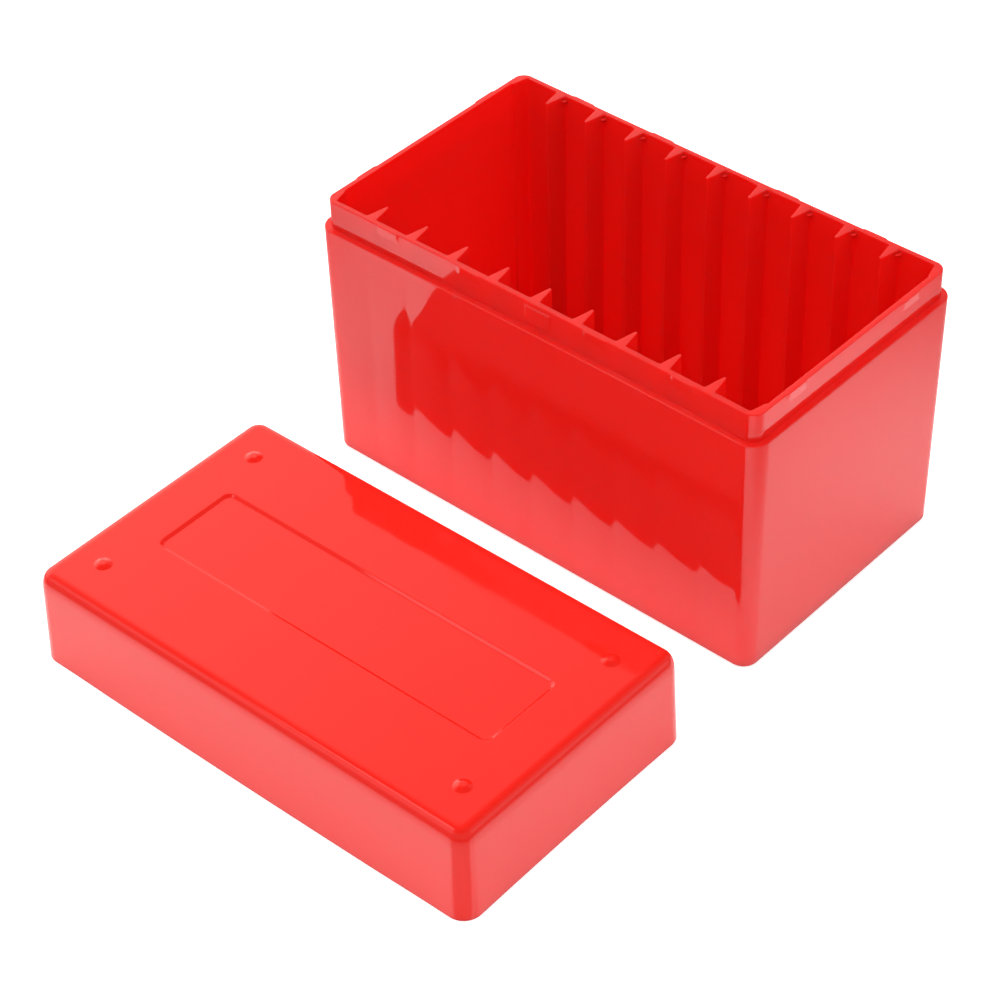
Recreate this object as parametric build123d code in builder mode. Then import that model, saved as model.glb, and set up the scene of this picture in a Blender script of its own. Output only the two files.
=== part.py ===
from build123d import *
import math
import os

# Storage box for ten flat coin holders: a slotted base and a lid that lifts off.
# Millimetres, +Z up. X runs along the row of slots and Y across it. The origin
# is the middle of the base's underside. The lid stands on the same surface, in
# front of the base, mouth down, as it is put down when the box is open.

# What the box holds: a row of flat holders standing on edge
slot_count = 10
slot_pitch = 12.1
row_width = 66.0  # clear width between the two long walls, at the rim

# Wall and floor of the base
rim_wall = 1.3
floor_thickness = 1.5
inner_draft = 0.3  # degrees, the inside narrows toward the floor
outer_draft = 0.7  # degrees, the outside narrows toward the floor
foot_round = 0.6

# Heights of the base
shoulder_height = 64.2
neck_height = 7.2

# Plan of the neck and of the shoulder round its foot, which the shut lid rests on
neck_corner = 3.0
shoulder_width = 1.6
shoulder_round = 0.25

# Ribs that part the slots, thin at the tip
rib_depth = 5.4
rib_root = 2.7
rib_tip = 0.6
end_rib_depth = 4.1
rib_draft = 0.15  # degrees, a rib grows toward the floor

# Raised friction pads round the neck, which the lid slides over
pad_proud = 0.3
pad_height = 2.6
pad_width = 6.2
pad_slots = (2, 4)  # the slots with a pad outside them, counted from each end of the row
end_pad_inset = 13.9  # from the side of the neck to the middle of a pad on its end

# Raised patch in the front of the neck
patch_width = 7.0
patch_height = 4.2
patch_below_rim = 1.4
patch_place = 1.8
patch_proud = 0.25

# Lid
lid_height = 24.6
lid_top = 1.5
lid_wall = 1.5
lid_draft = 2.1  # degrees, the lid narrows toward its top
lid_edge_round = 3.1
lid_inner_round = 1.6
mouth_chamfer = 0.6
fit_clearance = 0.05  # a side, between the lid and the pads
socket_spare = 0.6  # height left above the rim inside the lid's socket

# Sunk label panel on the lid
panel_length = 97.0
panel_width = 23.0
panel_corner = 2.2
panel_depth = 0.5
panel_slope = 60.0  # degrees, how far the panel's side leans

# Four round nubs on the lid, one near each corner
nub_diameter = 4.0
nub_height = 0.5
nub_round = 0.4
nub_end_inset = 10.8
nub_side_inset = 12.3

# Where the lid has been put down, and how far it is turned
lid_gap = 23.4  # between the base and the lid at their widest
lid_shift = 1.2
lid_turn = 0.6  # degrees

# Plan of the base
row_length = slot_count * slot_pitch
neck_length = row_length + 2 * rim_wall
neck_width = row_width + 2 * rim_wall
inner_corner = neck_corner - rim_wall
shoulder_length = neck_length + 2 * shoulder_width
shoulder_across = neck_width + 2 * shoulder_width
shoulder_corner = neck_corner + shoulder_width

rim_height = shoulder_height + neck_height

# Inside of the lid: a socket that takes the neck, and a well above it. When the box
# is shut, the lid's mouth rests on the shoulder and the neck fills the socket.
socket_gap = pad_proud + fit_clearance
socket_length = neck_length + 2 * socket_gap
socket_width = neck_width + 2 * socket_gap
socket_corner = neck_corner + socket_gap
socket_depth = neck_height + socket_spare
well_inset = lid_wall + socket_depth * math.tan(math.radians(lid_draft))
well_length = shoulder_length - 2 * well_inset
well_width = shoulder_across - 2 * well_inset
well_corner = shoulder_corner - well_inset

# Planes that the profiles are drawn on
rim_plane = Plane.XY.offset(rim_height)
neck_front = Plane((0, -neck_width / 2, 0), x_dir=(1, 0, 0), z_dir=(0, -1, 0))
neck_back = Plane((0, neck_width / 2, 0), x_dir=(-1, 0, 0), z_dir=(0, 1, 0))
neck_left = Plane((-neck_length / 2, 0, 0), x_dir=(0, -1, 0), z_dir=(-1, 0, 0))
neck_right = Plane((neck_length / 2, 0, 0), x_dir=(0, 1, 0), z_dir=(1, 0, 0))
lid_plane = Plane(Location((lid_shift, -(shoulder_across + lid_gap), 0), (0, 0, lid_turn)))


def rib_outline():
    """A rib on the front wall as seen from above, rooted in the middle of the wall."""
    wall = -row_width / 2
    right_half = [
        (rib_tip / 2, wall + rib_depth),
        (rib_root / 2, wall),
        (rib_root / 2, wall - rim_wall / 2),
    ]
    left_half = [(-x, y) for x, y in reversed(right_half)]
    return left_half + right_half


def end_rib_outline():
    """The half of a rib that stands in the front corner beside the right end wall."""
    wall = -row_width / 2
    return [
        (-rib_root / 2, wall - rim_wall / 2),
        (-rib_root / 2, wall),
        (-rib_tip / 2, wall + end_rib_depth),
        (rim_wall / 2, wall + end_rib_depth),
        (rim_wall / 2, wall),
        (0, wall - rim_wall / 2),
    ]


def pad_centres(places):
    """Middles of the friction pads on one wall, a pair for each distance from its middle."""
    height = rim_height - pad_height / 2
    return [(side * place, height) for place in places for side in (-1, 1)]


# The base: a drafted body, a flat shoulder, an upright neck and a ribbed inside
with BuildPart() as case_base:
    with BuildSketch(Plane.XY.offset(shoulder_height)):
        RectangleRounded(shoulder_length, shoulder_across, shoulder_corner)
    extrude(amount=-shoulder_height, taper=outer_draft)
    foot = case_base.faces().sort_by(Axis.Z)[0]
    fillet(foot.edges(), foot_round)
    shoulder = case_base.faces().sort_by(Axis.Z)[-1]
    fillet(shoulder.edges(), shoulder_round)
    with BuildSketch(Plane.XY.offset(shoulder_height)):
        RectangleRounded(neck_length, neck_width, neck_corner)
    extrude(amount=neck_height)

    # the clear space that the row stands in
    with BuildSketch(rim_plane):
        RectangleRounded(row_length, row_width, inner_corner)
    extrude(amount=-(rim_height - floor_thickness), taper=inner_draft, mode=Mode.SUBTRACT)

    # ribs on both long walls, down into the floor, with half a rib in each corner
    with BuildSketch(rim_plane):
        with GridLocations(slot_pitch, 0, slot_count - 1, 1):
            Polygon(*rib_outline(), align=None)
        with Locations((row_length / 2, 0)):
            Polygon(*end_rib_outline(), align=None)
        mirror(about=Plane.YZ)
        mirror(about=Plane.XZ)
    extrude(amount=-(rim_height - floor_thickness / 2), taper=-rib_draft)

    # friction pads just below the rim
    with BuildSketch(neck_front, neck_back):
        with Locations(*pad_centres([row_length / 2 - (n - 0.5) * slot_pitch for n in pad_slots])):
            Rectangle(pad_width, pad_height)
    extrude(amount=pad_proud)
    with BuildSketch(neck_left, neck_right):
        with Locations(*pad_centres([neck_width / 2 - end_pad_inset])):
            Rectangle(pad_width, pad_height)
    extrude(amount=pad_proud)

    # the raised patch in front
    with BuildSketch(neck_front):
        with Locations((patch_place, rim_height - patch_below_rim - patch_height / 2)):
            Rectangle(patch_width, patch_height)
    extrude(amount=patch_proud)

case_base.part.label = "case_base"

# The lid: a drafted shell with rounded top edges and a socket that slides over the neck
with BuildPart() as case_lid:
    with BuildSketch(lid_plane):
        RectangleRounded(shoulder_length, shoulder_across, shoulder_corner)
    extrude(amount=lid_height, taper=lid_draft)
    top = case_lid.faces().sort_by(Axis.Z)[-1]
    fillet(top.edges(), lid_edge_round)

    # the well, hollowed before the socket so that its ceiling edges can be rounded
    with BuildSketch(lid_plane):
        RectangleRounded(well_length, well_width, well_corner)
    extrude(amount=lid_height - lid_top, taper=lid_draft, mode=Mode.SUBTRACT)
    ceiling = case_lid.faces().filter_by(Axis.Z).sort_by(Axis.Z)[-2]
    fillet(ceiling.edges(), lid_inner_round)
    with BuildSketch(lid_plane):
        RectangleRounded(socket_length, socket_width, socket_corner)
    extrude(amount=socket_depth, mode=Mode.SUBTRACT)
    mouth = case_lid.faces().sort_by(Axis.Z)[0]
    chamfer(mouth.inner_wires()[0].edges(), mouth_chamfer)

    # the sunk label panel and the nubs
    with BuildSketch(lid_plane.offset(lid_height)):
        RectangleRounded(panel_length, panel_width, panel_corner)
    extrude(amount=-panel_depth, taper=panel_slope, mode=Mode.SUBTRACT)
    nub_span_x = shoulder_length - 2 * nub_end_inset
    nub_span_y = shoulder_across - 2 * nub_side_inset
    with BuildSketch(lid_plane.offset(lid_height)):
        with GridLocations(nub_span_x, nub_span_y, 2, 2):
            Circle(nub_diameter / 2)
    extrude(amount=nub_height)
    nub_tops = case_lid.faces().sort_by(Axis.Z)[-4:]
    fillet(nub_tops.edges(), nub_round)

case_lid.part.label = "case_lid"

os.makedirs("parts", exist_ok=True)
export_step(case_base.part, "parts/case_base.step")
export_step(case_lid.part, "parts/case_lid.step")
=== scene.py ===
import math

import bmesh
import bpy
from bpy.props import FloatProperty, FloatVectorProperty, IntProperty, PointerProperty
from mathutils import Matrix, Vector


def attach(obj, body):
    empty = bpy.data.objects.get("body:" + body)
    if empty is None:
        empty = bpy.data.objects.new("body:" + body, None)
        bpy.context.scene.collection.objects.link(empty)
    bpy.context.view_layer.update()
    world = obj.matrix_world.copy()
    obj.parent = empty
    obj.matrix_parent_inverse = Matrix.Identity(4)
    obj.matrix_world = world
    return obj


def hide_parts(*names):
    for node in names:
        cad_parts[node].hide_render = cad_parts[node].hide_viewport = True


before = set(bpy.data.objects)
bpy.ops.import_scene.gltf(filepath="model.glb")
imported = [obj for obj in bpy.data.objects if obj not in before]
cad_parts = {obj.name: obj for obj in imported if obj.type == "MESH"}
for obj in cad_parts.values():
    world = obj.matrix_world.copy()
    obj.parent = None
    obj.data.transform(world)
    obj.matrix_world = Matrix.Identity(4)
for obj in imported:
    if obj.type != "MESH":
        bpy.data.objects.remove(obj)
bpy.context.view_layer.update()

bl_info = {
    "name": "Slotted Storage Case",
    "version": (1, 0, 0),
    "blender": (4, 5, 0),
    "location": "3D View > Sidebar > Storage Case",
    "description": "A glossy red storage box with ten slots, its lift-off lid and a studio floor",
    "category": "Object",
}

MM = 0.001


# Properties


def size(name, description, millimetres):
    """A length that a user may change, given in millimetres."""
    return FloatProperty(
        name=name, description=description, default=millimetres * MM, unit="LENGTH", precision=5
    )


def tilt(name, description, degrees):
    """An angle that a user may change, given in degrees."""
    return FloatProperty(
        name=name, description=description, default=math.radians(degrees), unit="ROTATION"
    )


def amount(name, description, default):
    """A plain share or strength."""
    return FloatProperty(name=name, description=description, default=default, min=0.0)


def colour(name, description, default):
    """A colour, or a brightness in red, green and blue."""
    return FloatVectorProperty(
        name=name, description=description, default=default, subtype="COLOR", min=0.0, soft_max=1.0
    )


class CaseSizes(bpy.types.PropertyGroup):
    """Sizes that the base and the lid share."""

    slots: IntProperty(name="Slots", description="Slots in the row", default=10, min=2)
    pitch: size("Slot pitch", "From the middle of one rib to the next", 12.1)
    row_width: size("Row width", "Clear width between the long walls at the rim", 66.0)
    rim_wall: size("Rim wall", "Thickness of the neck's wall", 1.3)
    neck_corner: size("Neck corner", "Radius of the neck's corners", 3.0)
    shoulder: size("Shoulder", "Width of the shoulder outside the neck", 1.6)


class BaseSizes(bpy.types.PropertyGroup):
    """Sizes of the base alone."""

    shoulder_height: size("Shoulder height", "Height of the drafted body", 64.2)
    neck_height: size("Neck height", "Height of the neck above the shoulder", 7.2)
    floor: size("Floor", "Thickness of the floor", 1.5)
    foot_round: size("Foot round", "Radius of the edge under the body", 0.6)
    shoulder_round: size("Shoulder round", "Radius of the shoulder's outer edge", 0.3)
    rim_round: size("Rim round", "Radius of the rim's outer edge", 0.22)
    outer_draft: tilt("Outer draft", "How much the body narrows toward its foot", 0.7)
    inner_draft: tilt("Inner draft", "How much the inside narrows toward the floor", 0.3)
    rib_draft: tilt("Rib draft", "How much a rib grows toward the floor", 0.15)
    rib_depth: size("Rib depth", "How far a rib reaches into the row", 5.4)
    end_rib_depth: size("End rib depth", "How far the half ribs in the corners reach", 4.1)
    rib_root: size("Rib root", "Width of a rib at the wall", 2.7)
    rib_tip: size("Rib tip", "Width of a rib at its tip", 0.6)
    rib_fillet: size("Rib fillet", "Radius between a rib and its wall", 0.45)
    mark_place: size("Mark place", "From the middle of a back rib to the pin mark at its root", 1.3)
    mark_width: size("Mark width", "Width of a pin mark", 1.7)
    mark_below_rim: size("Mark below rim", "From the rim down to a pin mark", 0.95)
    pad_width: size("Pad width", "Width of a friction pad", 6.2)
    pad_height: size("Pad height", "Height of a friction pad", 2.6)
    pad_proud: size("Pad height off the neck", "How far a friction pad stands proud", 0.3)
    end_pad_inset: size("End pad inset", "From the neck's side to a pad on its end", 13.9)
    patch_place: size("Patch place", "Middle of the front patch, from the middle of the case", 1.8)
    patch_width: size("Patch width", "Width of the front patch", 7.0)
    patch_height: size("Patch height", "Height of the front patch", 4.2)
    patch_below_rim: size("Patch below rim", "From the rim down to the patch", 1.4)
    patch_proud: size("Patch height off the neck", "How far the patch stands proud", 0.25)
    wall_bow: size("Wall bow", "How far the long walls lean in at mid length", 0.55)
    sink_depth: size("Sink depth", "How far the walls are drawn in opposite the ribs", 0.17)
    sink_width: amount("Sink width", "Softness of the crease opposite a rib, by half a slot", 0.06)
    corner_step: size("Corner step", "How far the neck's corners stand off its walls", 0.03)
    ripple: size("Ripple", "Height of the tool marks round the neck's corners", 0.006)
    ripple_pitch: size("Ripple pitch", "From one tool mark to the next", 1.1)


class LidSizes(bpy.types.PropertyGroup):
    """Sizes of the lid alone, and where it has been put down."""

    height: size("Height", "Height of the lid without its nubs", 24.6)
    top: size("Top", "Thickness of the lid's top", 1.5)
    wall: size("Wall", "Thickness of the lid's wall", 1.5)
    draft: tilt("Draft", "How much the lid narrows toward its top", 2.1)
    bend_side: size("Bend down the wall", "How far the top edge's bend runs down the wall", 6.2)
    bend_top: size("Bend over the top", "How far the top edge's bend runs in over the top", 3.6)
    inner_round: size("Inner round", "Radius under the lid's top", 1.6)
    socket_depth: size("Socket depth", "Depth of the socket that slides over the neck", 7.8)
    socket_gap: size("Socket gap", "Between the neck and the socket", 0.35)
    mouth_chamfer: size("Mouth chamfer", "Lead-in at the socket's mouth", 0.6)
    panel_length: size("Panel length", "Length of the sunk label panel", 97.0)
    panel_width: size("Panel width", "Width of the sunk label panel", 23.0)
    panel_corner: size("Panel corner", "Radius of the panel's corners", 2.2)
    panel_depth: size("Panel depth", "How deep the panel is sunk", 0.5)
    panel_slope: tilt("Panel slope", "Lean of the panel's sides", 56.0)
    nub_diameter: size("Nub diameter", "Diameter of a nub", 4.0)
    nub_height: size("Nub height", "Height of a nub", 0.5)
    nub_slope: size("Nub slope", "Width of the slope round a nub's top", 1.1)
    nub_round: size("Nub round", "Radius of a nub's top edge", 1.5)
    nub_end_inset: size("Nub end inset", "From the lid's end to the middle of a nub", 10.8)
    nub_side_inset: size("Nub side inset", "From the lid's side to the middle of a nub", 12.3)
    gap: size("Gap", "Between the base and the lid put down in front of it", 23.4)
    shift: size("Shift", "How far the lid lies along the row", 1.2)
    turn: tilt("Turn", "How far the lid is turned", 0.6)
    front_bulge: size("Front bulge", "How far the foot of the front bulges", 0.38)
    end_hollow: size("End hollow", "How far the foot of an end is drawn in", 0.25)


class PlasticLook(bpy.types.PropertyGroup):
    """Colours and finish of the moulded plastic."""

    # The lid and the base are one plastic, and their reds differ only as painted light and shade: the
    # lid's is painted a little lighter, the base's a little darker, with a little more green and blue in
    # the base's as a painted reflection inside it. The deep reds differ in the same way.
    lid_red: colour("Lid red", "Colour of the lid", (0.975, 0.019, 0.011))
    lid_deep_red: colour("Lid deep red", "Colour along the lid's flow lines", (0.95, 0.016, 0.009))
    lid_glow: amount("Lid glow", "Share of light that scatters under the lid's surface", 0.15)
    base_shaded_red: colour("Base red", "Colour of the base, which lets light through", (0.95, 0.022, 0.017))
    base_shaded_deep_red: colour("Base deep red", "Colour along the base's flow lines", (0.93, 0.019, 0.015))
    base_glow: amount("Base glow", "Share of light that scatters under the base's surface", 1.0)
    glow_reach: size("Glow reach", "How far red light travels inside the plastic", 5.5)
    dust: colour("Dust", "Colour of the dust specks", (0.85, 0.62, 0.58))
    roughness: amount("Roughness", "Roughness of the polished faces", 0.045)
    warp_along: amount("Warp along", "How much the base's gloss leans along the row", 0.035)
    warp_up: amount("Warp up", "How much the base's gloss leans up", 0.044)


class StageLook(bpy.types.PropertyGroup):
    """Floor, light and camera."""

    floor_colour: colour("Floor", "Colour of the floor", (0.90, 0.90, 0.90))
    floor_lift: amount("Floor lift", "Light added to the floor where it is looked at", 0.60)
    gloss_lift: amount("Gloss lift", "Light added to the floor where the gloss shows it", 0.42)
    floor_radius: size("Floor radius", "Radius of the floor", 1500.0)
    zenith: colour("Zenith", "Brightness of the room straight above", (1.44, 1.44, 1.44))
    side_light: amount("Side light", "Brightness that the window at the back left adds", 2.1)
    horizon: colour("Horizon", "Brightness of the room all round", (0.115, 0.115, 0.115))
    gloss_room: colour("Room in the gloss", "Plain level of the room in reflections", (0.32, 0.32, 0.32))
    lens: amount("Lens", "Focal length of the camera in millimetres", 105.85)


# Outlines and meshes

# steps round a corner of the case, a corner of the panel, a nub and a pin mark
CORNER_FACETS, PANEL_FACETS, NUB_FACETS, PIN_FACETS = 14, 10, 48, 24

# steps in a small round of a profile, and in one that catches the light
ROUND_FACETS, FINE_FACETS = 5, 6


def rounded_path(corners, steps, closed=False):
    """A path through corners given as (across, up, radius), with each corner rounded."""
    points = []
    count = len(corners)
    for i, (x, y, radius) in enumerate(corners):
        here = Vector((x, y))
        if radius <= 0 or (not closed and i in (0, count - 1)):
            points.append(here)
            continue
        before = (Vector(corners[i - 1][:2]) - here).normalized()
        after = (Vector(corners[(i + 1) % count][:2]) - here).normalized()
        half = before.angle(after) / 2
        reach = radius / math.tan(half)
        middle = here + (before + after).normalized() * (radius / math.sin(half))
        start = here + before * reach - middle
        turn = math.pi - 2 * half
        sign = 1 if before.x * after.y - before.y * after.x < 0 else -1
        for k in range(steps + 1):
            spun = Matrix.Rotation(sign * turn * k / steps, 2) @ start
            points.append(middle + spun)
    return points


def spaced(path, longest):
    """The same path with points added so that no step is longer than a length."""
    out = [path[0]]
    for a, b in zip(path, path[1:]):
        parts = max(1, math.ceil((b - a).length / longest))
        out += [a.lerp(b, k / parts) for k in range(1, parts + 1)]
    return out


def ticks(low, high, step, knots=()):
    """Places from low to high about a step apart, with the knots among them."""
    parts = round((high - low) / step)
    plain = [low + (high - low) * k / parts for k in range(parts + 1)]
    near = step * 0.3
    kept = [t for t in plain[1:-1] if all(abs(t - k) > near for k in knots)]
    return sorted([low, high] + kept + [k for k in knots if low < k < high])


def stations(half_x, half_y, xs, ys, corner_steps):
    """Places round a rectangle, anticlockwise from above, each with its outward direction."""
    places = []
    quarter = math.pi / 2
    walls = [
        ([(x, -half_y) for x in xs], -quarter),
        ([(half_x, y) for y in ys], 0.0),
        ([(-x, half_y) for x in xs], quarter),
        ([(-half_x, -y) for y in ys], math.pi),
    ]
    for points, angle in walls:
        facing = Vector((math.cos(angle), math.sin(angle)))
        places += [(Vector(p), facing) for p in points]
        for k in range(1, corner_steps):
            a = angle + quarter * k / corner_steps
            places.append((Vector(points[-1]), Vector((math.cos(a), math.sin(a)))))
    return places


def ways_round(count):
    """Directions evenly round a circle."""
    turns = [2 * math.pi * k / count for k in range(count)]
    return [Vector((math.cos(a), math.sin(a))) for a in turns]


def ring(bm, places, reach, height, relief=None):
    """One closed row of points at a reach out from the places."""
    row = []
    for at, facing in places:
        out = reach + (relief(at, facing, height) if relief else 0.0)
        row.append(bm.verts.new((*(at + facing * out), height)))
    return row


def skin(bm, rows):
    """Faces between each row of points and the next."""
    for low, high in zip(rows, rows[1:]):
        for i in range(len(low)):
            j = (i + 1) % len(low)
            bm.faces.new((low[i], low[j], high[j], high[i]))


def sweep(bm, places, profile, relief=None):
    """A closed wall: the profile, as (reach, height), carried round the places."""
    rows = [ring(bm, places, reach, height, relief) for reach, height in profile]
    skin(bm, rows)
    return rows


def edge_of(a, b):
    """The edge between two points that are neighbours in a row."""
    return next(edge for edge in a.link_edges if edge.other_vert(a) is b)


def fill(bm, rows):
    """A flat face bounded by the first row, with the other rows as holes."""
    edges = [edge_of(a, b) for row in rows for a, b in zip(row, row[1:] + row[:1])]
    made = bmesh.ops.triangle_fill(bm, edges=edges, use_beauty=True, use_dissolve=False)
    if not made["geom"]:
        raise RuntimeError("a flat face could not be filled")


def piece(name, bm, body, node, *materials):
    """Turns a finished mesh into the shown piece that stands for a CAD node."""
    bmesh.ops.recalc_face_normals(bm, faces=bm.faces)
    mesh = bpy.data.meshes.new(name)
    bm.to_mesh(mesh)
    bm.free()
    mesh.shade_smooth()
    for material in materials:
        mesh.materials.append(material)
    obj = bpy.data.objects.new(name, mesh)
    bpy.context.scene.collection.objects.link(obj)
    even = obj.modifiers.new("even_normals", "WEIGHTED_NORMAL")
    even.mode = "FACE_AREA"
    even.weight = 50
    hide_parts(node)
    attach(obj, body)
    return obj


# The base

# the slots with a friction pad outside them, counted from each end of the row
PAD_SLOTS = (2, 4)

# a place faces straight out of a wall when this share of its direction does
STRAIGHT = 0.999

# how far the creases opposite the ribs take to fade in above the foot, out below the shoulder
# and away past the last rib
CREASE_FADES = (8 * MM, 4 * MM, 3 * MM)

# steps along the long walls and the ends of the base
LONG_STEP, END_STEP = 0.6 * MM, 0.8 * MM

# the flat rings that the underside and the rim are closed from, and the tight round where the
# neck meets the shoulder
UNDERSIDE_RING, RIM_RING, NECK_FOOT_ROUND = 3 * MM, 0.45 * MM, 0.03 * MM

# how softly a friction pad ends along its wall, and how far above the shoulder the neck begins
PAD_FADE, NECK_BEGINS = 0.5 * MM, 0.01 * MM

# how far the middle of a pin mark stands off its wall, and its steps from the top down: share of
# its width, depth below its top, and how far its middle is set back
PIN_PROUD = 0.5 * MM
PIN_ROWS = (
    (0.9, 0.0, 0.0),
    (1.0, 0.05 * MM, 0.0),
    (1.0, 0.2 * MM, 0.0),
    (0.5, 1.1 * MM, 0.9 * MM),
)

# the neck leans less than the body at its rim by this share
NECK_STIFFER = 0.25


class CasePlan:
    """Plan sizes worked out from the properties."""

    def __init__(self, scene):
        case = scene.case_sizes
        self.row_length = case.slots * case.pitch
        self.neck = Vector((self.row_length, case.row_width)) / 2 + Vector((1, 1)) * case.rim_wall
        self.core = self.neck - Vector((1, 1)) * case.neck_corner
        self.shoulder_reach = case.neck_corner + case.shoulder
        self.rib_places = [case.pitch * (k - case.slots / 2) for k in range(1, case.slots)]


def smooth(t):
    """0 below 0 and 1 above 1, with an even slope between."""
    t = min(1.0, max(0.0, t))
    return t * t * (3 - 2 * t)


def raised(value, low, high, edge=0.2 * MM):
    """1 between two limits, 0 outside them, with a narrow slope at each."""
    return smooth((value - low) / edge / 2 + 0.5) * smooth((high - value) / edge / 2 + 0.5)


class NeckRelief:
    """What stands off the outside of the base: pads, patch, corner marks and sink grooves."""

    slope = (-0.5 * MM, -0.25 * MM, -0.12 * MM, -0.04 * MM, 0.04 * MM, 0.12 * MM, 0.25 * MM, 0.5 * MM)

    def __init__(self, case, base, plan):
        self.base = base
        self.plan = plan
        self.rim = base.shoulder_height + base.neck_height
        self.pitch = case.pitch
        self.shift = 0.5 if case.slots % 2 == 0 else 0.0
        self.far_rib = plan.row_length / 2 - case.pitch / 2
        half_pad = base.pad_width / 2
        along = [plan.row_length / 2 - (n - 0.5) * case.pitch for n in PAD_SLOTS]
        across = plan.neck.y - base.end_pad_inset
        self.side_pads = [(s * x - half_pad, s * x + half_pad) for x in along for s in (-1, 1)]
        self.end_pads = [(s * across - half_pad, s * across + half_pad) for s in (-1, 1)]
        half_patch = base.patch_width / 2
        self.patch = (base.patch_place - half_patch, base.patch_place + half_patch)
        self.patch_top = self.rim - base.patch_below_rim
        self.patch_foot = self.patch_top - base.patch_height

    def knots(self, spans):
        """The places where the relief bends along a wall."""
        return [edge + s for span in spans for edge in span for s in self.slope]

    def __call__(self, at, facing, height):
        base = self.base
        long_wall = abs(facing.y) > STRAIGHT
        end_wall = abs(facing.x) > STRAIGHT
        on_neck = height > base.shoulder_height + NECK_BEGINS
        out = 0.0
        if on_neck and (long_wall or end_wall):
            wedge = min(1.0, max(0.0, 1 - (self.rim - height) / base.pad_height))
            spans, place = (self.side_pads, at.x) if long_wall else (self.end_pads, at.y)
            out += base.pad_proud * wedge * sum(raised(place, *span, PAD_FADE) for span in spans)
        if on_neck and not (long_wall or end_wall):
            out += base.corner_step
            out += base.ripple * math.sin(2 * math.pi * height / base.ripple_pitch)
        if on_neck and facing.y < -STRAIGHT:
            shown = raised(at.x, *self.patch) * raised(height, self.patch_foot, self.patch_top)
            out += base.patch_proud * shown
        if long_wall:
            above_foot, below_shoulder, past_rib = CREASE_FADES
            fade = smooth(height / above_foot) * smooth((base.shoulder_height - height) / below_shoulder)
            fade *= raised(at.x, -self.far_rib, self.far_rib, past_rib)
            off = abs((at.x / self.pitch + self.shift) % 1 - 0.5) * 2
            off = math.hypot(off, base.sink_width) - base.sink_width
            out -= base.sink_depth * fade * (1 - off) ** 2
        return out


def outside_profile(case, base, plan, relief):
    """The base's outside from the underside to the top of the rim, as (reach, height)."""
    toe = plan.shoulder_reach - base.shoulder_height * math.tan(base.outer_draft)
    neck = case.neck_corner
    bends = [relief.patch_top, relief.patch_foot, relief.rim - base.pad_height]
    corners = [
        (toe - UNDERSIDE_RING, 0, 0),
        (toe, 0, base.foot_round),
        (plan.shoulder_reach, base.shoulder_height, base.shoulder_round),
        (neck, base.shoulder_height, NECK_FOOT_ROUND),
        *[(neck, bend + s, 0) for bend in sorted(bends) for s in relief.slope],
        (neck, relief.rim, base.rim_round),
        (neck - RIM_RING, relief.rim, 0),
    ]
    profile = rounded_path(corners, ROUND_FACETS)
    low = [p for p in profile if p.y <= base.shoulder_height]
    high = [p for p in profile if p.y > base.shoulder_height]
    return spaced(low, 2 * MM) + spaced(high, base.ripple_pitch / 8)


def inner_outline(case, base, plan, depth, spare):
    """The ribbed inside at a depth below the rim, as seen from above.

    The spare is how far the outline stands back from its size, for rounded edges."""
    drawn_in = depth * math.tan(base.inner_draft) - spare
    grown = depth * math.tan(base.rib_draft) - spare
    wall = -case.row_width / 2 + drawn_in
    end = plan.row_length / 2 - drawn_in

    def rib(reach):
        lean = (base.rib_root - base.rib_tip) / 2 / reach
        half = base.rib_root / 2 + grown * math.hypot(1, lean)
        tip = -case.row_width / 2 + reach + grown
        return half - drawn_in * lean, half - (reach + grown) * lean, tip

    sharp = 0.14 * MM
    root, tip_half, tip = rib(base.rib_depth)
    quarter = [(0, tip, 0), (tip_half, tip, sharp), (root, wall, base.rib_fillet)]
    for x in [p for p in plan.rib_places if p > case.pitch / 2]:
        quarter += [
            (x - root, wall, base.rib_fillet),
            (x - tip_half, tip, sharp),
            (x + tip_half, tip, sharp),
            (x + root, wall, base.rib_fillet),
        ]
    root, tip_half, tip = rib(base.end_rib_depth)
    x = plan.row_length / 2
    quarter += [
        (x - root, wall, base.rib_fillet),
        (x - tip_half, tip, sharp),
        (end, tip, sharp),
        (end, 0, 0),
    ]
    right = quarter + [(x, -y, r) for x, y, r in reversed(quarter[:-1])]
    left = [(-x, y, r) for x, y, r in reversed(right[1:-1])]
    return rounded_path(right + left, FINE_FACETS, closed=True)


def inside_levels(base, depth):
    """Spare and depth of each row of the inside, from the rounded rim to the rounded floor."""
    rim_edge, toe = 0.15 * MM, 0.4 * MM
    turns = [math.pi / 2 * k / 4 for k in range(5)]
    levels = [(rim_edge * (1 - math.sin(a)), rim_edge * (1 - math.cos(a))) for a in turns]
    levels += [(0.0, depth * k / 12) for k in range(1, 12)]
    levels += [(-toe * (1 - math.cos(a)), depth - toe * (1 - math.sin(a))) for a in turns]
    return levels


def pin_marks(bm, case, base, plan, rim):
    """A small half-round step at the root of each back rib, where a pin pushed the base out."""
    for x in plan.rib_places:
        rows = []
        for share, below, back in PIN_ROWS:
            middle = Vector((x + base.mark_place, case.row_width / 2 - PIN_PROUD + back))
            places = [(middle, facing) for facing in ways_round(PIN_FACETS)]
            height = rim - base.mark_below_rim - below
            rows.append(ring(bm, places, base.mark_width / 2 * share, height))
        skin(bm, rows)
        fill(bm, [rows[0]])
        fill(bm, [rows[-1]])
        for face in {face for row in rows for v in row for face in v.link_faces}:
            face.material_index = 1


def bow_walls(bm, base, plan, rim):
    """Leans the long walls in at mid length, as thin walls shrink when they cool."""
    for v in bm.verts:
        x, y, z = v.co
        lean = base.wall_bow * (1 - (1 - min(1.0, z / base.shoulder_height)) ** 2)
        lean *= 1 - NECK_STIFFER * max(0.0, z - base.shoulder_height) / (rim - base.shoulder_height)
        middle = max(0.0, 1 - (x / plan.neck.x) ** 2)
        v.co.y -= lean * middle * y / plan.neck.y


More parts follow.
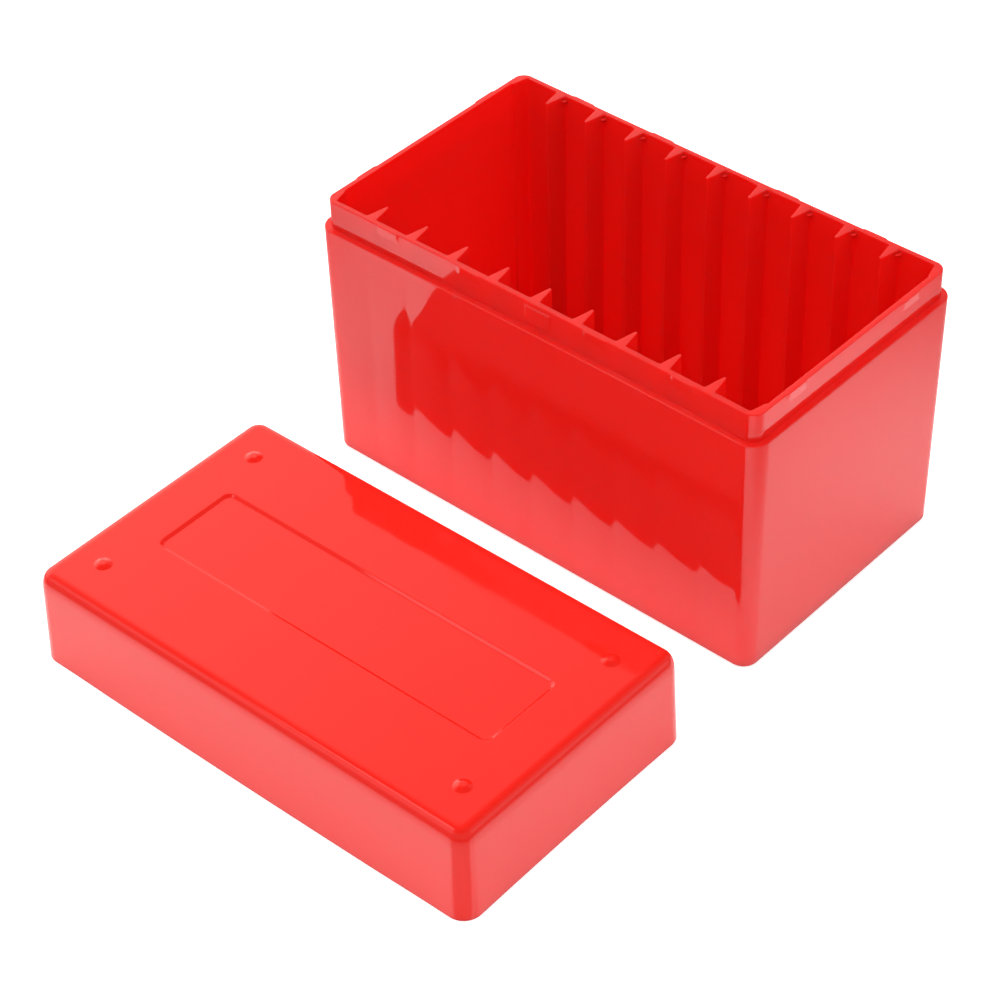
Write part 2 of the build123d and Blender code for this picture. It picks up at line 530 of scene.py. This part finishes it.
class MakeBase(bpy.types.Operator):
    """Build the ribbed base with its neck, friction pads and patch"""

    bl_idname = "storage_case.make_base"
    bl_label = "Base"

    def execute(self, context):
        case, base = context.scene.case_sizes, context.scene.base_sizes
        plan = CasePlan(context.scene)
        core = plan.core
        relief = NeckRelief(case, base, plan)
        behind_patch = tuple(-edge for edge in reversed(relief.patch))
        along = relief.side_pads + [relief.patch, behind_patch]
        xs = ticks(-core.x, core.x, LONG_STEP, relief.knots(along))
        ys = ticks(-core.y, core.y, END_STEP, relief.knots(relief.end_pads))
        places = stations(core.x, core.y, xs, ys, CORNER_FACETS)
        bm = bmesh.new()
        outside = sweep(bm, places, outside_profile(case, base, plan, relief), relief)

        inside = []
        for spare, below in inside_levels(base, relief.rim - base.floor):
            outline = inner_outline(case, base, plan, below, spare)
            inside.append([bm.verts.new((p.x, p.y, relief.rim - below)) for p in outline])
        skin(bm, inside)
        fill(bm, [outside[-1], inside[0]])
        fill(bm, [inside[-1]])
        fill(bm, [outside[0]])
        pin_marks(bm, case, base, plan, relief.rim)
        bow_walls(bm, base, plan, relief.rim)
        look = context.scene.plastic_look
        # the base's reds are the lid's plastic painted a little darker, as painted shade
        reds = look.base_shaded_red, look.base_shaded_deep_red
        warp = look.warp_along, look.warp_up
        walls = red_plastic(look, "base", *reds, look.base_glow, STREAKED, warp)
        marks = red_plastic(look, "pin_marks", *reds, 0.0, FAINTLY_STREAKED, NO_WARP)
        piece("storage_case_base", bm, "base", "case_base", walls, marks)
        return {"FINISHED"}


# The lid

# the shares of the lid's bend over which it tightens from the wall and eases onto the top, and
# how finely it is added up and drawn
BEND_TIGHTENS, BEND_EASES, BEND_SUM, BEND_FACETS = 0.62, 0.42, 400, 30

# the ring that the lid's ceiling is closed from, and the rounds of its socket, its lead-in and
# its mouth
CEILING_RING, SOCKET_ROUND, LEAD_ROUND, MOUTH_ROUND = 0.3 * MM, 0.12 * MM, 0.1 * MM, 0.2 * MM

# the round of the panel's edges, and the flat rings outside and inside its slope
PANEL_ROUND, PANEL_OUTSIDE, PANEL_INSIDE = 0.4 * MM, 0.6 * MM, 0.8 * MM

# a nub: the flat ring round it, how far its foot spreads, its foot's round and its top's ring
NUB_OUTSIDE, NUB_SPREAD, NUB_FOOT_ROUND, NUB_TOP_RING = 0.7 * MM, 0.1 * MM, 0.25 * MM, 0.5 * MM

# how quickly the bend of the lid's walls fades upward, and toward the corners
BULGE_FADE, BULGE_SPREAD = 1.5, 1.6


def soft_bend(across, up, side, top, draft):
    """A rounded top edge, from the wall to the top face, whose bend fades out at both ends.

    The corner is at (across, up). The bend runs down the wall by side and in over the top by top."""
    lean = math.atan(draft)
    heading = [0.0]
    for k in range(BEND_SUM):
        t = (k + 0.5) / BEND_SUM
        heading.append(heading[-1] + smooth(t / BEND_TIGHTENS) * smooth((1 - t) / BEND_EASES))
    turn = (math.pi / 2 - lean) / heading[-1]
    path = [Vector((0.0, 0.0))]
    for h in heading[:-1]:
        path.append(path[-1] + Vector((-math.sin(lean + h * turn), math.cos(lean + h * turn))))
    span = path[-1]
    start = Vector((across + side * draft, up - side))
    width = start.x - (across - top)
    drawn = [path[round(BEND_SUM * k / BEND_FACETS)] for k in range(BEND_FACETS + 1)]
    return [start + Vector((p.x * width / -span.x, p.y * side / span.y)) for p in drawn]


def shell_profile(case, lid, plan):
    """The lid from the middle of its ceiling, down inside, over the mouth and up to its top."""
    draft = math.tan(lid.draft)
    shoulder = plan.shoulder_reach
    well_mouth = shoulder - lid.wall - lid.socket_depth * draft
    ceiling = lid.height - lid.top
    socket = case.neck_corner + lid.socket_gap
    top_reach = shoulder - lid.height * draft
    inner = rounded_path(
        [
            (CEILING_RING, ceiling, 0),
            (well_mouth - ceiling * draft, ceiling, lid.inner_round),
            (well_mouth - lid.socket_depth * draft, lid.socket_depth, SOCKET_ROUND),
            (socket, lid.socket_depth, SOCKET_ROUND),
            (socket, lid.mouth_chamfer, LEAD_ROUND),
            (socket + lid.mouth_chamfer, 0, LEAD_ROUND),
            (shoulder, 0, MOUTH_ROUND),
            (top_reach, lid.height, 0),
        ],
        ROUND_FACETS,
    )
    outer = soft_bend(top_reach, lid.height, lid.bend_side, lid.bend_top, draft)
    return spaced(inner[:-1] + outer, 1.6 * MM)


def panel_profile(lid):
    """The side of the sunk label panel, from the top face down to its floor."""
    floor = lid.height - lid.panel_depth
    inner = lid.panel_corner - lid.panel_depth * math.tan(lid.panel_slope)
    return rounded_path(
        [
            (lid.panel_corner + PANEL_OUTSIDE, lid.height, 0),
            (lid.panel_corner, lid.height, PANEL_ROUND),
            (inner, floor, PANEL_ROUND),
            (inner - PANEL_INSIDE, floor, 0),
        ],
        ROUND_FACETS,
    )


def nub_profile(lid):
    """A nub from the top face up to the small flat in the middle of its dome."""
    radius, top = lid.nub_diameter / 2, lid.height + lid.nub_height
    return rounded_path(
        [
            (radius + NUB_OUTSIDE, lid.height, 0),
            (radius + NUB_SPREAD, lid.height, NUB_FOOT_ROUND),
            (radius - lid.nub_slope, top, lid.nub_round),
            (radius - lid.nub_slope - NUB_TOP_RING, top, 0),
        ],
        FINE_FACETS,
    )


def bend_lid_walls(bm, lid, core):
    """Bulges the foot of the long walls and draws the foot of the ends in a little."""
    for v in bm.verts:
        x, y, z = v.co
        low = max(0.0, 1 - z / lid.height) ** BULGE_FADE
        if abs(y) > core.y:
            along = max(0.0, 1 - (x / core.x) ** 2)
            v.co.y += math.copysign(lid.front_bulge * low * along * smooth(along * BULGE_SPREAD), y)
        if abs(x) > core.x:
            along = max(0.0, 1 - (y / core.y) ** 2)
            v.co.x -= math.copysign(lid.end_hollow * low * along, x)


class MakeLid(bpy.types.Operator):
    """Build the lift-off lid with its sunk panel and four nubs, put down before the base"""

    bl_idname = "storage_case.make_lid"
    bl_label = "Lid"

    def execute(self, context):
        case, lid = context.scene.case_sizes, context.scene.lid_sizes
        plan = CasePlan(context.scene)
        core = plan.core
        bm = bmesh.new()
        xs, ys = ticks(-core.x, core.x, MM), ticks(-core.y, core.y, MM)
        places = stations(core.x, core.y, xs, ys, CORNER_FACETS)
        shell = sweep(bm, places, shell_profile(case, lid, plan))
        fill(bm, [shell[0]])

        half = Vector((lid.panel_length, lid.panel_width)) / 2 - Vector((1, 1)) * lid.panel_corner
        xs, ys = ticks(-half.x, half.x, 2 * MM), ticks(-half.y, half.y, 2 * MM)
        panel = sweep(bm, stations(half.x, half.y, xs, ys, PANEL_FACETS), panel_profile(lid))
        fill(bm, [panel[-1]])

        outer = core + Vector((1, 1)) * plan.shoulder_reach
        nub_x, nub_y = outer.x - lid.nub_end_inset, outer.y - lid.nub_side_inset
        holes = [panel[0]]
        for middle in ((nub_x, nub_y), (-nub_x, nub_y), (-nub_x, -nub_y), (nub_x, -nub_y)):
            places = [(Vector(middle), facing) for facing in ways_round(NUB_FACETS)]
            nub = sweep(bm, places, nub_profile(lid))
            fill(bm, [nub[-1]])
            holes.append(nub[0])
        fill(bm, [shell[-1]] + holes)

        bend_lid_walls(bm, lid, core)
        aside = Matrix.Translation((lid.shift, -(2 * outer.y + lid.gap), 0))
        bm.transform(aside @ Matrix.Rotation(lid.turn, 4, "Z"))
        look = context.scene.plastic_look
        reds = look.lid_red, look.lid_deep_red
        red = red_plastic(look, "lid", *reds, look.lid_glow, FAINTLY_STREAKED, NO_WARP)
        piece("storage_case_lid", bm, "lid", "case_lid", red)
        return {"FINISHED"}


# Materials

# the gloss leans below this height only, in metres
WARP_TOP = 0.0637
NO_WARP = (0.0, 0.0)

# strength of the upright flow lines where the plastic shows them in full, and where they are faint
STREAKED, FAINTLY_STREAKED = 1.0, 0.4

# how much rougher a handled patch is than a polished one
DULLED = 1.8

# how much the broad waves outweigh the flow lines, and the share of places that get no dust
WAVES_SHARE, DUSTLESS = 6.0, 0.93


def node(tree, kind, place, inputs=None, **settings):
    """A new node with its settings, its inputs set to values or joined to sockets."""
    new = tree.nodes.new(kind)
    new.location = (place[0] * 200, place[1] * 200)
    for key, value in settings.items():
        setattr(new, key, value)
    for key, value in (inputs or {}).items():
        socket = new.inputs[key]
        if isinstance(value, bpy.types.NodeSocket):
            tree.links.new(value, socket)
        else:
            socket.default_value = value
    return new


def mixed(tree, place, share, first, second):
    """A colour that goes from the first to the second by a share."""
    inputs = {0: share, 6: first, 7: second}
    return node(tree, "ShaderNodeMix", place, inputs, data_type="RGBA").outputs[2]


def maths(tree, place, operation, *values):
    """The result of a sum on plain values."""
    inputs = dict(enumerate(values))
    return node(tree, "ShaderNodeMath", place, inputs, operation=operation).outputs["Value"]


def vectors(tree, place, operation, *values):
    """The result of a sum on vectors, which is one value for a length or a dot product."""
    new = node(tree, "ShaderNodeVectorMath", place, dict(enumerate(values)), operation=operation)
    return new.outputs["Value" if operation in ("LENGTH", "DOT_PRODUCT") else "Vector"]


def ramp(tree, place, value, low, high, first=0.0, second=1.0):
    """A soft step from the first to the second as a value goes from low to high."""
    inputs = {"Value": value, "From Min": low, "From Max": high, "To Min": first, "To Max": second}
    new = node(tree, "ShaderNodeMapRange", place, inputs, interpolation_type="SMOOTHSTEP")
    return new.outputs["Result"]


def noise(tree, place, at, scale, detail, roughness=0.5):
    """Cloudy noise at a place."""
    inputs = {"Vector": at, "Scale": scale, "Detail": detail, "Roughness": roughness}
    return node(tree, "ShaderNodeTexNoise", place, inputs).outputs["Fac"]


def group_of(name, inputs, outputs):
    """A shader node group with named sockets, and its two end nodes."""
    tree = bpy.data.node_groups.new(name, "ShaderNodeTree")
    for label, kind, default in inputs:
        socket = tree.interface.new_socket(name=label, in_out="INPUT", socket_type=kind)
        socket.default_value = default
    for label, kind in outputs:
        tree.interface.new_socket(name=label, in_out="OUTPUT", socket_type=kind)
    return tree, node(tree, "NodeGroupInput", (-6, 0)), node(tree, "NodeGroupOutput", (4, 0))


def flow_lines():
    """Faint upright streaks and broad waves, as plastic leaves them when it fills a mould."""
    if "flow_lines" in bpy.data.node_groups:
        return bpy.data.node_groups["flow_lines"]
    tree, given, out = group_of(
        "flow_lines",
        [("Place", "NodeSocketVector", (0, 0, 0)), ("Streaks", "NodeSocketFloat", 1.0)],
        [("Height", "NodeSocketFloat"), ("Shade", "NodeSocketFloat")],
    )
    place = given.outputs["Place"]
    stretched = node(
        tree, "ShaderNodeMapping", (-5, 1), {"Vector": place, "Scale": (420.0, 420.0, 9.0)}
    )
    streaks = noise(tree, (-4, 1), stretched.outputs["Vector"], scale=1.0, detail=2.0)
    waves = noise(tree, (-4, -1), place, scale=55.0, detail=1.0)
    fine = maths(tree, (-2, 1), "MULTIPLY", streaks, given.outputs["Streaks"])
    both = maths(tree, (-1, 0), "MULTIPLY_ADD", waves, WAVES_SHARE, fine)
    tree.links.new(both, out.inputs["Height"])
    tree.links.new(waves, out.inputs["Shade"])
    return tree


def dust_specks():
    """Sparse specks of dust, a few tenths of a millimetre across."""
    if "dust_specks" in bpy.data.node_groups:
        return bpy.data.node_groups["dust_specks"]
    tree, given, out = group_of(
        "dust_specks",
        [
            ("Place", "NodeSocketVector", (0, 0, 0)),
            ("Density", "NodeSocketFloat", 160.0),
            ("Size", "NodeSocketFloat", 0.02),
        ],
        [("Mask", "NodeSocketFloat"), ("Height", "NodeSocketFloat")],
    )
    cells = node(
        tree, "ShaderNodeTexVoronoi", (-4, 0),
        {"Vector": given.outputs["Place"], "Scale": given.outputs["Density"], "Randomness": 1.0},
    )
    chance = node(tree, "ShaderNodeSeparateColor", (-3, -1), {"Color": cells.outputs["Color"]})
    limit = maths(tree, (-2, -1), "MULTIPLY", chance.outputs["Red"], given.outputs["Size"])
    near = maths(tree, (-1, 0), "LESS_THAN", cells.outputs["Distance"], limit)
    rare = maths(tree, (-1, -1), "GREATER_THAN", chance.outputs["Green"], DUSTLESS)
    mask = maths(tree, (1, 0), "MULTIPLY", near, rare)
    tree.links.new(mask, out.inputs["Mask"])
    tree.links.new(mask, out.inputs["Height"])
    return tree


def handling_smudges():
    """Soft patches where handling has dulled the gloss a little."""
    if "handling_smudges" in bpy.data.node_groups:
        return bpy.data.node_groups["handling_smudges"]
    tree, given, out = group_of(
        "handling_smudges",
        [
            ("Place", "NodeSocketVector", (0, 0, 0)),
            ("Polished", "NodeSocketFloat", 0.06),
            ("Dulled", "NodeSocketFloat", 0.12),
        ],
        [("Roughness", "NodeSocketFloat")],
    )
    cloud = noise(tree, (-4, 0), given.outputs["Place"], scale=38.0, detail=5.0, roughness=0.6)
    spread = ramp(
        tree, (-2, 0), cloud, low=0.42, high=0.78,
        first=given.outputs["Polished"], second=given.outputs["Dulled"],
    )
    tree.links.new(spread, out.inputs["Roughness"])
    return tree


def red_plastic(look, which, red, deep_red, glow, streaks, warp):
    """The glossy red plastic of one piece, which leans its gloss by the warp along and up."""
    material = bpy.data.materials.new(f"glossy_red_{which}")
    material.use_nodes = True
    tree = material.node_tree
    tree.nodes.clear()
    place = node(tree, "ShaderNodeTexCoord", (-8, 0)).outputs["Object"]
    flow = node(
        tree, "ShaderNodeGroup", (-5, 1), {"Place": place, "Streaks": streaks}, node_tree=flow_lines()
    )
    dust = node(tree, "ShaderNodeGroup", (-5, -1), {"Place": place}, node_tree=dust_specks())
    smudge = node(
        tree, "ShaderNodeGroup", (-5, -3),
        {"Place": place, "Polished": look.roughness, "Dulled": look.roughness * DULLED},
        node_tree=handling_smudges(),
    )
    body = mixed(tree, (-3, 2), flow.outputs["Shade"], (*red, 1.0), (*deep_red, 1.0))
    specked = mixed(tree, (-2, 1), dust.outputs["Mask"], body, (*look.dust, 1.0))
    below = vectors(tree, (-6, -2), "MINIMUM", place, (1.0, 1.0, WARP_TOP))
    along, up = warp
    drop = vectors(tree, (-5, -2), "DOT_PRODUCT", below, (-along, 0.0, -up))
    leaning = node(
        tree, "ShaderNodeBump", (-3, -2), {"Strength": 1.0, "Distance": 1.0, "Height": drop}
    )
    waves = node(
        tree, "ShaderNodeBump", (-2, -1),
        {
            "Strength": 1.0, "Distance": 0.0000025,
            "Height": flow.outputs["Height"], "Normal": leaning.outputs["Normal"],
        },
    )
    specks = node(
        tree, "ShaderNodeBump", (-1, -1),
        {
            "Strength": 0.6, "Distance": 0.00004,
            "Height": dust.outputs["Height"], "Normal": waves.outputs["Normal"],
        },
    )
    shader = node(
        tree, "ShaderNodeBsdfPrincipled", (0, 0),
        {
            "Base Color": specked,
            "Roughness": smudge.outputs["Roughness"],
            "Normal": specks.outputs["Normal"],
            "IOR": 1.57,
            "Subsurface Weight": glow,
            "Subsurface Radius": (1.0, 0.12, 0.08),
            "Subsurface Scale": look.glow_reach,
        },
    )
    end = node(tree, "ShaderNodeOutputMaterial", (2, 0))
    tree.links.new(shader.outputs["BSDF"], end.inputs["Surface"])
    return material


# The stage

# where the room looks brighter in the gloss, first the window and last the dark ceiling: azimuth
# and elevation of the middle, the angles at which the change is full and at which it has faded,
# and how much it adds in red, green and blue
GLOWS = (
    (165, 5, 15, 58, (1.16, 1.08, 0.96)),
    (-125, 32, 3, 20, (0.50, 0.50, 0.50)),
    (36, 18, 3, 17, (0.40, 0.40, 0.40)),
    (0, 90, 30, 48, (-0.26, -0.26, -0.26)),
)

# soft boxes: place and aim in metres, width, brightness, and whether the gloss shows them
SOFT_BOXES = (
    ("overhead", (0.0, -0.05, 0.95), (0.0, -0.06, 0.03), 1.00, 0.50, False),
    ("front_left", (-0.150, -0.262, 0.380), (0.0, -0.06, 0.03), 0.13, 1.20, True),
    ("right", (0.600, -0.100, 0.250), (0.06, -0.09, 0.02), 0.40, 0.30, False),
    ("light_table", (0.0, -0.0475, 0.0003), (0.0, -0.0475, 1.0), 0.30, 0.45, False),
)

# the ground that the base and the lid cover, and how far from it the gloss sees bright paper, a painted
# pool of light round the case that only reflections show
COVERED_MIDDLE = (0.0, -0.0475, 0.0)
COVERED_HALF = (0.064, 0.0845, 1.0)
BRIGHT_TO, DIM_FROM, DIM_SHARE = 0.020, 0.125, 0.2

# the painted shade in the gloss, a darker wedge of floor that the lid's nearest upright edge mirrors:
# its tip, which way it opens, the angles at which it is full and at which it has faded, and the share of
# light left
WEDGE_TIP = (0.0625, -0.1285, 0.0)
WEDGE_AZIMUTH, WEDGE_FULL, WEDGE_FADED, WEDGE_SHARE = -54, 50, 62, 0.50

# how dark the paper's fibres are against the paper, and how far its sheet lies under the case
FIBRE_SHADE = 0.985
PAPER_BELOW = 0.05 * MM

# the camera: its place in metres, where it looks, which way is right, and its sensor in millimetres
CAMERA_PLACE = (0.338859, -0.415214, 0.454739)
CAMERA_FORWARD = (-0.511997, 0.558367, -0.652752)
CAMERA_RIGHT = (0.749836, 0.661240, -0.022520)
SENSOR_WIDTH = 36.0


def cosine(degrees):
    """The cosine of an angle in degrees."""
    return math.cos(math.radians(degrees))


def toward(azimuth, elevation):
    """The direction at an azimuth and an elevation in degrees."""
    a, e = math.radians(azimuth), math.radians(elevation)
    return Vector((math.cos(a) * math.cos(e), math.sin(a) * math.cos(e), math.sin(e)))


def add_room(scene, look):
    """Soft light from above and all round, and a room with bright sides in the gloss."""
    world = bpy.data.worlds.new("soft_room")
    world.use_nodes = True
    scene.world = world
    tree = world.node_tree
    tree.nodes.clear()
    way = node(tree, "ShaderNodeTexCoord", (-8, 0)).outputs["Generated"]
    room = node(tree, "ShaderNodeCombineXYZ", (-5, 4))
    for axis, level in zip("XYZ", look.gloss_room):
        room.inputs[axis].default_value = level
    total = room.outputs["Vector"]
    lobes = []
    for i, (azimuth, elevation, full, faded, added) in enumerate(GLOWS):
        facing = vectors(tree, (-6, i), "DOT_PRODUCT", way, toward(azimuth, elevation))
        lobes.append(ramp(tree, (-5, i), facing, cosine(faded), cosine(full)))
        total = vectors(tree, (-4, i), "MULTIPLY_ADD", lobes[-1], added, total)
    height = node(tree, "ShaderNodeSeparateXYZ", (-6, -2), {0: way}).outputs["Z"]
    steep = maths(tree, (-5, -2), "MULTIPLY", height, height)
    soft = mixed(tree, (-4, -1), steep, (*look.horizon, 1.0), (*look.zenith, 1.0))
    side = vectors(tree, (-3, -1), "MULTIPLY_ADD", lobes[0], [look.side_light] * 3, soft)
    ray = node(tree, "ShaderNodeLightPath", (-4, -2))
    light = mixed(tree, (-2, 0), ray.outputs["Is Glossy Ray"], side, total)
    seen = mixed(tree, (-1, 0), ray.outputs["Is Camera Ray"], light, (1.0, 1.0, 1.0, 1.0))
    sky = node(tree, "ShaderNodeBackground", (0, 0), {"Color": seen, "Strength": 1.0})
    end = node(tree, "ShaderNodeOutputWorld", (2, 0))
    tree.links.new(sky.outputs["Background"], end.inputs["Surface"])


def gloss_pool(tree, ground, glossy):
    """1 for what looks at the floor straight, and in the gloss a painted pool of light round the object,
    dimmed by the painted shade of the wedge.
    """
    steps = (
        ("SUBTRACT", COVERED_MIDDLE), ("ABSOLUTE",), ("SUBTRACT", COVERED_HALF),
        ("MAXIMUM", (0.0, 0.0, 0.0)),
    )
    off = ground
    for i, (operation, *other) in enumerate(steps):
        off = vectors(tree, (-9 + i, -4), operation, off, *other)
    away = vectors(tree, (-5, -4), "LENGTH", off)
    pool = ramp(tree, (-4, -4), away, BRIGHT_TO, DIM_FROM, 1.0, DIM_SHARE)
    # the painted shade of the wedge, seen in the gloss only
    from_tip = vectors(tree, (-7, -6), "SUBTRACT", ground, WEDGE_TIP)
    way = vectors(tree, (-6, -6), "NORMALIZE", from_tip)
    facing = vectors(tree, (-5, -6), "DOT_PRODUCT", way, toward(WEDGE_AZIMUTH, 0))
    wedge = ramp(tree, (-4, -6), facing, cosine(WEDGE_FADED), cosine(WEDGE_FULL), 1.0, WEDGE_SHARE)
    level = maths(tree, (-3, -5), "MULTIPLY", pool, wedge)
    inputs = {0: glossy, 2: 1.0, 3: level}
    return node(tree, "ShaderNodeMix", (-3, -4), inputs, data_type="FLOAT").outputs[0]


def floor_material(look):
    """Pale paper that looks white where it is seen, and keeps the shadows."""
    material = bpy.data.materials.new("pale_paper")
    material.use_nodes = True
    tree = material.node_tree
    tree.nodes.clear()
    place = node(tree, "ShaderNodeTexCoord", (-10, 0)).outputs["Object"]
    ray = node(tree, "ShaderNodeLightPath", (-8, -2))
    pool = gloss_pool(tree, place, ray.outputs["Is Glossy Ray"])
    fibre = noise(tree, (-5, 0), place, scale=900.0, detail=3.0)
    pale = look.floor_colour
    tone = mixed(tree, (-3, 0), fibre, (*pale, 1.0), (*[c * FIBRE_SHADE for c in pale], 1.0))
    # in reflections the paper's colour carries the painted pool of light and the painted shade of the
    # wedge
    pooled = node(tree, "ShaderNodeVectorMath", (-2, 0), {0: tone, "Scale": pool}, operation="SCALE")
    paper = node(tree, "ShaderNodeBsdfDiffuse", (-1, 0), {"Color": pooled.outputs["Vector"]})
    lift = 0.0
    for i, (kind, added) in enumerate((
        ("Is Camera Ray", look.floor_lift),
        ("Is Glossy Ray", look.gloss_lift),
        ("Is Transmission Ray", look.gloss_lift),
    )):
        lift = maths(tree, (-6 + i, -2), "MULTIPLY_ADD", ray.outputs[kind], added, lift)
    # in the gloss the lift follows the same painted pool of light and painted shade
    lift = maths(tree, (-2, -2), "MULTIPLY", lift, pool)
    glow = node(tree, "ShaderNodeEmission", (-1, -2), {"Strength": lift})
    both = node(
        tree, "ShaderNodeAddShader", (0, 0), {0: paper.outputs["BSDF"], 1: glow.outputs["Emission"]}
    )
    end = node(tree, "ShaderNodeOutputMaterial", (2, 0))
    tree.links.new(both.outputs["Shader"], end.inputs["Surface"])
    return material


def add_floor(scene, look):
    """A wide round sheet of pale paper under the case."""
    bm = bmesh.new()
    bmesh.ops.create_circle(bm, cap_ends=True, radius=look.floor_radius, segments=96)
    mesh = bpy.data.meshes.new("paper_floor")
    bm.to_mesh(mesh)
    bm.free()
    mesh.materials.append(floor_material(look))
    floor = bpy.data.objects.new("paper_floor", mesh)
    floor.location.z = -PAPER_BELOW
    scene.collection.objects.link(floor)


def add_soft_box(scene, name, place, aim, width, brightness, in_gloss):
    """A square soft box. Its brightness is its radiance."""
    light = bpy.data.lights.new(name, "AREA")
    light.shape = "SQUARE"
    light.size = width
    light.energy = brightness * math.pi * width * width
    lamp = bpy.data.objects.new(name, light)
    lamp.location = place
    lamp.rotation_euler = (Vector(aim) - Vector(place)).to_track_quat("-Z", "Y").to_euler()
    lamp.visible_camera = False
    lamp.visible_glossy = in_gloss
    scene.collection.objects.link(lamp)


class MakeStage(bpy.types.Operator):
    """Set the floor, the soft light and the camera"""

    bl_idname = "storage_case.make_stage"
    bl_label = "Stage"

    def execute(self, context):
        scene = context.scene
        look = scene.stage_look
        scene.view_settings.view_transform = "Standard"
        add_room(scene, look)
        add_floor(scene, look)
        for soft_box in SOFT_BOXES:
            add_soft_box(scene, *soft_box)
        camera = bpy.data.cameras.new("camera")
        camera.lens = look.lens
        camera.sensor_width = SENSOR_WIDTH
        camera.clip_start = 0.01
        shot = bpy.data.objects.new("camera", camera)
        forward, right = Vector(CAMERA_FORWARD), Vector(CAMERA_RIGHT)
        turned = Matrix((right, right.cross(forward), -forward)).transposed()
        shot.matrix_world = Matrix.Translation(CAMERA_PLACE) @ turned.to_4x4()
        scene.collection.objects.link(shot)
        scene.camera = shot
        return {"FINISHED"}


# Panel and registration


class CasePanel(bpy.types.Panel):
    """The case's pieces and its stage, in the sidebar"""

    bl_idname = "VIEW3D_PT_storage_case"
    bl_label = "Storage Case"
    bl_space_type = "VIEW_3D"
    bl_region_type = "UI"
    bl_category = "Storage Case"

    def draw(self, context):
        for operator in OPERATORS:
            self.layout.operator(operator.bl_idname, text=operator.bl_label)
        for name, group in SETTINGS.items():
            box = self.layout.box()
            box.label(text=group.__doc__)
            for key in group.__annotations__:
                box.prop(getattr(context.scene, name), key)


OPERATORS = (MakeBase, MakeLid, MakeStage)
SETTINGS = {
    "case_sizes": CaseSizes,
    "base_sizes": BaseSizes,
    "lid_sizes": LidSizes,
    "plastic_look": PlasticLook,
    "stage_look": StageLook,
}


def register():
    """Adds the properties, the operators and the panel."""
    for cls in (*SETTINGS.values(), *OPERATORS, CasePanel):
        bpy.utils.register_class(cls)
    for name, group in SETTINGS.items():
        setattr(bpy.types.Scene, name, PointerProperty(type=group))


def unregister():
    """Takes them away again."""
    for name in SETTINGS:
        delattr(bpy.types.Scene, name)
    for cls in (CasePanel, *OPERATORS, *SETTINGS.values()):
        bpy.utils.unregister_class(cls)


def main():
    """Sets the stage and builds the case."""
    register()
    bpy.ops.storage_case.make_stage()
    bpy.ops.storage_case.make_base()
    bpy.ops.storage_case.make_lid()
    bpy.context.view_layer.update()


if __name__ == "__main__":
    main()
